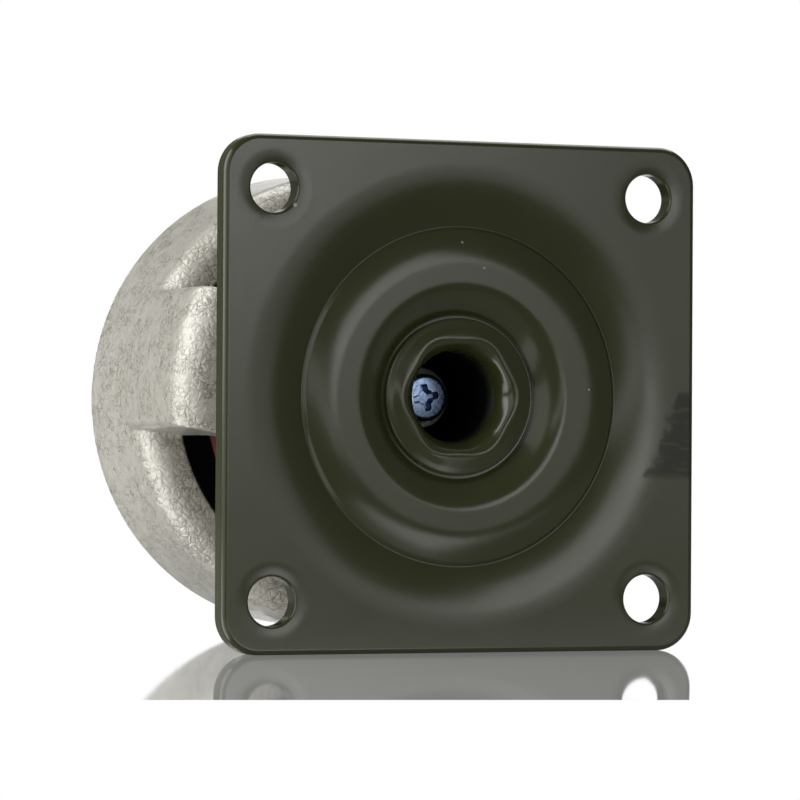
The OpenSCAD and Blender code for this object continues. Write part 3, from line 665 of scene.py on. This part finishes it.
# Foot: washer, spindle, cup and ribbed rubber
ring_piece("flat_washer", band(SCREW_R + 0.05, 4.5, SPINDLE_TOP, SCREW_SEAT), shade_darkened_zinc,
           "foot", "zinc", "stop_washer", radius=0.2)
tap_end = SCREW_SEAT - SCREW_L
ring_piece("turned_spindle", [
    (SCREW_R, tap_end), (SCREW_R, SPINDLE_TOP), (CORE_R, SPINDLE_TOP), (CORE_R, SHOULDER),
    (SHANK_R, SHOULDER), (SHANK_R, CUP_FLOOR), (NEAR_AXIS, CUP_FLOOR), (NEAR_AXIS, tap_end)],
    spindle_zinc, "foot", "steel", "spindle", radius=0.3, reach=shank)
cup_hole = SHANK_R - 0.05
ring_piece("foot_cup", [
    (cup_hole, CUP_FLOOR), (PAD_R, CUP_FLOOR), (PAD_R, CUP_TOP), (NECK_R + 0.6, CUP_TOP),
    (NECK_R, CUP_TOP + 0.6), (NECK_R, NECK_TOP), (cup_hole, NECK_TOP)],
    spindle_zinc, "foot", "steel", "pad_cup", radius=0.5)
grooves = [(NEAR_AXIS, PAD_FACE)]
for r in (5, 8.5, 12):
    grooves += [(r - 0.6, PAD_FACE), (r - 0.4, PAD_FACE + 1), (r + 0.4, PAD_FACE + 1), (r + 0.6, PAD_FACE)]
ring_piece("rubber_sole", grooves + [(PAD_R, PAD_FACE), (PAD_R, CUP_FLOOR), (NEAR_AXIS, CUP_FLOOR)],
           black_rubber, "foot", "pad_rubber", "rubber_pad", radius=0.8)

# Dial with finger scallops round its rim, its nut and washers
rim_in = DIAL_R - DIAL_CHAMFER
ring_piece("dial_moulding", [
    (5.5, DIAL_BOTTOM), (DIAL_HUB_R, DIAL_BOTTOM), (DIAL_HUB_R, RIM_BOTTOM), (rim_in, RIM_BOTTOM),
    (DIAL_R, RIM_BOTTOM + DIAL_CHAMFER), (DIAL_R, DIAL_TOP - DIAL_CHAMFER), (rim_in, DIAL_TOP),
    (5.5, DIAL_TOP)],
    shaded_red_plastic, "dial", "dial_red", "adjusting_dial", radius=0.5, steps=400, reach=scallops)
ring_piece("brass_nut", band(4.05, NUT_CORNER_R, DIAL_BOTTOM, NUT_TOP), brass, "dial", "brass",
           "dial_nut", radius=0.3, steps=180, reach=hexagon(NUT_FLATS))
ring_piece("upper_washer", band(18, 24, DIAL_TOP, DIAL_TOP + 1.2), bearing_steel, "housing", "steel",
           "upper_thrust_washer", radius=0.15)
ring_piece("lower_washer", band(8.5, DIAL_HUB_R, DIAL_BOTTOM - 1.5, DIAL_BOTTOM), bearing_steel,
           "housing", "steel", "lower_thrust_washer", radius=0.15)

# Wheel, its bearings, and the axle
half_wheel = [
    (WHEEL_R, 8), (23.1, 10.1), (21, WHEEL_HALF), (WHEEL_RIM_R, WHEEL_HALF), (WHEEL_RIM_R, WEB_HALF),
    (WHEEL_HUB_R, WEB_HALF), (WHEEL_HUB_R, WHEEL_HALF), (BEARING_R, WHEEL_HALF),
    (BEARING_R, BEARING_IN), (8.982, BEARING_IN)]
ring_piece("wheel_moulding", [(r, -z) for r, z in reversed(half_wheel)] + half_wheel,
           black_nylon, "wheel", "wheel_nylon", "wheel", radius=0.6, steps=192, place=ON_AXLE)
# Rings at both ends of the axle: section, finish, body, slot, rounding, and the node of the pair
PAIRS = (
    ("outer_ring", (9.0, BEARING_R, BEARING_IN, WHEEL_HALF), bearing_steel, "wheel", "steel", 0.3,
     "bearing_outer_rings"),
    ("shield", (6.15, 8.98, 10.3, 10.7), bearing_steel, "wheel", "steel", 0.1, "bearing_shields"),
    ("inner_ring", (AXLE_FIT_R, 6.0, BEARING_IN, WHEEL_HALF), bearing_steel, "housing", "steel", 0.2,
     "bearing_inner_rings"),
    ("spacer", (AXLE_FIT_R, 6.2, WHEEL_HALF, CHEEK_IN), spindle_zinc, "housing", "steel", 0.1,
     "side_spacers"),
    ("axle_washer", (AXLE_FIT_R, 8, CHEEK_OUT, BOLT_SEAT), spindle_zinc, "housing", "zinc", 0.25,
     "axle_washers"))
for side, tag in ((-1, "near"), (1, "far")):
    for name, (inner, outer, start, end), finish, body, slot, rounding, _ in PAIRS:
        ring_piece(f"{name}_{tag}", band(inner, outer, side * start, side * end), finish, body, slot,
                   radius=rounding, place=ON_AXLE)
for name, *_, node in PAIRS:
    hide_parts(node)
ring_piece("axle_bolt_head", [
    (NEAR_AXIS, -27.5), (3.5, -29.1), (3.5, -16), (AXLE_R, -15.5), (AXLE_R, BOLT_SEAT), (5.6, BOLT_SEAT),
    (HEX_R, BOLT_SEAT + 0.2), (HEX_R, 23.5), (6.2, 24.4), (NEAR_AXIS, 24.4)],
    spindle_zinc, "housing", "zinc", "axle_bolt", radius=0.15, steps=180, reach=hexagon(HEX_FLATS),
    place=ON_AXLE)
ring_piece("hex_lock_nut", [
    (AXLE_R, -BOLT_SEAT), (6.3, -BOLT_SEAT), (HEX_R, -BOLT_SEAT - 0.6), (HEX_R, -24), (6.1, -24.7),
    (6.1, -27.1), (5.2, -27.1), (5.2, -25.2), (AXLE_R, -25.2)],
    spindle_zinc, "housing", "zinc", "lock_nut", radius=0.2, steps=180, reach=hexagon(HEX_FLATS),
    place=ON_AXLE)
ring_piece("nut_insert", band(3.9, 5.15, -25.3, -26.9), white_nylon, "housing", "zinc",
           radius=0.2, place=ON_AXLE)

# Ball row and threads
balls = ball_row_tree()
thread = thread_tree()
grown("upper_ball_row", balls,
      {"Count": 20.0, "Pitch": 17.65 * MM, "Ball": 2.5 * MM, "Height": -6.05 * MM},
      bearing_steel, Matrix.Identity(4), "housing", "steel", "upper_balls")
grown("spindle_thread", thread,
      {"Turns": 18.2, "Middle": 3.5 * MM, "Ridge": 0.5 * MM, "Length": 27.3 * MM, "Foot": -44.7 * MM},
      spindle_zinc, SWIVELLED, "foot", "steel", sharp=40)
grown("axle_thread", thread,
      {"Turns": 10.0, "Middle": 3.5 * MM, "Ridge": 0.48 * MM, "Length": 12.4 * MM, "Foot": -28.7 * MM},
      spindle_zinc, ON_AXLE, "housing", "zinc", sharp=40)

# Finishes of the solids that show as they are
for name, finish, slot in (("lower_balls", bearing_steel, "steel"),
                           ("kingpin_ring", bearing_steel, "steel"),
                           ("retaining_ring", spring_steel, "steel"),
                           ("bearing_balls", bearing_steel, "steel"),
                           ("bearing_spacer", spindle_zinc, "steel")):
    nodes[name].data.materials.clear()
    nodes[name].data.materials.append(finish)


# Studio: the castor lies on its plate's edge on a glossy white sheet

# The lens, its place in millimetres and its three turns, solved from the plate's outline
SENSOR_MM, LENS_MM, FOCAL_PX = 36, 197.47, 4388.23
CAMERA_AT = Vector((-248.57, -8.765, 573.18))
ROLL, TILT, PAN = -0.0059356, -0.01316, 0.394629
# The photograph's own frame ends this far below the middle of the picture
FRAME_FOOT = 300 / FOCAL_PX
WHITE = "#ffffff"

scene = bpy.context.scene
scene.view_settings.view_transform = "Standard"
lens = bpy.data.cameras.new("camera")
lens.sensor_width, lens.lens = SENSOR_MM, LENS_MM
lens.clip_start, lens.clip_end = 0.01, 20
camera = bpy.data.objects.new("camera", lens)
scene.collection.objects.link(camera)
turn = Matrix.Rotation(ROLL, 3, "Z") @ Matrix.Rotation(TILT, 3, "X") @ Matrix.Rotation(PAN, 3, "Y")
to_world = turn.transposed()
camera.matrix_world = Matrix.LocRotScale(CAMERA_AT * MM, to_world.to_quaternion(), None)
scene.camera = camera


def stage_plane(name, corners, finish):
    """A flat sheet of the studio, from corners in millimetres."""
    mesh = bpy.data.meshes.new(name)
    mesh.from_pydata([Vector(p) * MM for p in corners], [], [(0, 1, 2, 3)])
    mesh.materials.append(finish)
    made = bpy.data.objects.new(name, mesh)
    scene.collection.objects.link(made)


def one_sided(tree, front):
    """Ends a studio material that is seen from its front only."""
    behind = add(tree, "ShaderNodeNewGeometry").outputs["Backfacing"]
    clear = add(tree, "ShaderNodeBsdfTransparent").outputs["BSDF"]
    both = add(tree, "ShaderNodeMixShader", {0: behind, 1: front, 2: clear})
    add(tree, "ShaderNodeOutputMaterial", {"Surface": both.outputs["Shader"]})


def glow(tree, strength):
    """An even white glow."""
    return add(tree, "ShaderNodeEmission", {
        "Color": linear(WHITE), "Strength": strength}).outputs["Emission"]


def white_acrylic():
    """Glossy white acrylic table top, lit from below: it mirrors the castor."""
    made, tree, _ = material("white_acrylic")
    lit = add(tree, "ShaderNodeBsdfDiffuse", {"Color": linear("#a0a0a0")}).outputs["BSDF"]
    body = add(tree, "ShaderNodeAddShader", {0: lit, 1: glow(tree, 0.88)}).outputs["Shader"]
    mirror = add(tree, "ShaderNodeBsdfGlossy", {"Color": linear(WHITE), "Roughness": 0.05})
    front = add(tree, "ShaderNodeMixShader", {0: 0.87, 1: body, 2: mirror.outputs["BSDF"]})
    one_sided(tree, front.outputs["Shader"])
    return made


def white_paper():
    """White backdrop paper, evenly lit."""
    made, tree, _ = material("white_paper")
    one_sided(tree, glow(tree, 1.0))
    return made


# The castor rests on its plate's edge and on the drum's rim, so the table leans against the plate
lean = math.radians(1.6)
upright = Vector((0, math.cos(lean), math.sin(lean)))
contact = Vector((0, -PLATE_HALF - 0.02, 0))


def on_table(right, down):
    """Where a ray of the lens, given by its slopes right and down of the axis, meets the table."""
    ray = to_world @ Vector((right, -down, -1))
    start = camera.location / MM
    return start + ray * ((contact - start).dot(upright) / ray.dot(upright))


# The table ends in front where the photograph's own frame ends
near_left, near_right = on_table(-0.5, FRAME_FOOT), on_table(0.5, FRAME_FOOT)
back = to_world @ Vector((0, 0, -2500))
back -= upright * back.dot(upright)
stage_plane("table", (near_left, near_right, near_right + back, near_left + back), white_acrylic())
base = on_table(0, FRAME_FOOT) + back
half = (near_right - near_left).normalized() * 450
rise = upright * 700
stage_plane("backdrop", (base - half, base + half, base + half + rise, base - half + rise),
            white_paper())


def softbox(name, spot, aim, width, height, radiance):
    """A soft rectangular lamp with an even face of that radiance; lengths in metres."""
    lamp = bpy.data.lights.new(name, "AREA")
    lamp.shape = "RECTANGLE"
    lamp.size, lamp.size_y = width, height
    lamp.energy = radiance * math.pi * width * height
    made = bpy.data.objects.new(name, lamp)
    made.location = spot
    made.rotation_euler = (Vector(aim) - Vector(spot)).to_track_quat("-Z", "Y").to_euler()
    scene.collection.objects.link(made)


body_middle = (-0.02, 0, -0.03)
softbox("left_softbox", (-0.8, 0.36, -0.06), body_middle, 0.8, 0.8, 3.9)
softbox("top_softbox", (0.3, 0.85, -0.3), body_middle, 0.8, 0.8, 2.8)
softbox("left_front_softbox", (-0.72, 0.25, 0.55), body_middle, 0.8, 0.8, 1.0)
softbox("front_softbox", (0.25, 0.16, 0.95), (0, 0, 0), 0.25, 0.34, 2.5)
softbox("front_panel", (0.42, 0.03, 0.97), (0, 0, 0), 0.2, 0.5, 0.9)
softbox("front_strip", (-0.105, 0.06, 0.97), (0, 0, -0.02), 0.09, 0.6, 1.8)

# White room: full to the lens, dimmer as light and dimmer still in reflections
world = bpy.data.worlds.new("studio")
world.use_nodes = True
scene.world = world
tree = world.node_tree
tree.nodes.clear()
path = add(tree, "ShaderNodeLightPath").outputs
dim = span(tree, path["Is Glossy Ray"], 0.0, 1.0, 0.24, 0.14)
level = mix(tree, path["Is Camera Ray"], dim, 1.0)
sky = add(tree, "ShaderNodeBackground", {"Color": linear(WHITE), "Strength": level})
add(tree, "ShaderNodeOutputWorld", {"Surface": sky.outputs["Background"]})
